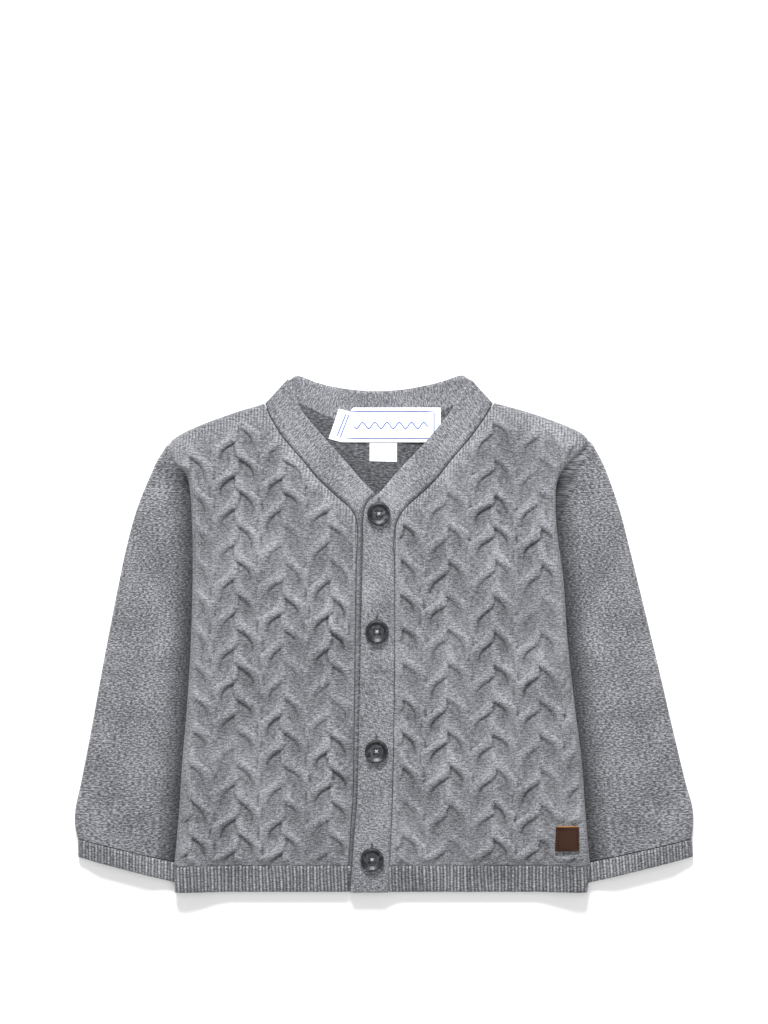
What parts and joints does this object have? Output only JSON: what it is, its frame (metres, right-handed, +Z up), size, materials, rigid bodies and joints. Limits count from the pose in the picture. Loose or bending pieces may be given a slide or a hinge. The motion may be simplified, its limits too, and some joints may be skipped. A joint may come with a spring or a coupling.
{
  "type": "baby cardigan",
  "caption": "Baby's long-sleeved V-neck knitted cardigan, buttoned and laid flat, with cable fronts, ribbed hem and cuffs.",
  "frame": {"origin": "on the surface that the cardigan lies on, under the middle of its outline", "axes": "+X to the wearer's left, +Y from the hem to the neck, +Z up from the surface"},
  "size_m": [0.3534, 0.2951, 0.0121],
  "materials": {
    "jersey_knit": "matt grey melange wool and cashmere jersey",
    "cable_knit": "matt, slightly brushed grey melange cable knit",
    "rib_knit": "matt grey melange rib knit",
    "band_knit": "matt grey melange, fine close knit",
    "button_horn": "polished, dark marbled imitation horn",
    "label_woven": "white woven satin with thin blue lines",
    "patch_leather": "smooth dark brown leather with a raw tan edge"
  },
  "bodies": {
    "root": {"back_panel": "jersey_knit", "sleeve_right": "jersey_knit", "sleeve_left": "jersey_knit", "front_right": "cable_knit", "front_left": "cable_knit", "hem_rib_back": "rib_knit", "hem_rib_front_right": "rib_knit", "hem_rib_front_left": "rib_knit", "cuff_rib_right": "rib_knit", "cuff_rib_left": "rib_knit", "band_button": "band_knit", "band_buttonhole": "band_knit", "band_neck": "band_knit", "button_1": "button_horn", "button_2": "button_horn", "button_3": "button_horn", "button_4": "button_horn", "neck_label": "label_woven", "size_tab": "label_woven", "leather_patch": "patch_leather"}
  },
  "joints": []
}
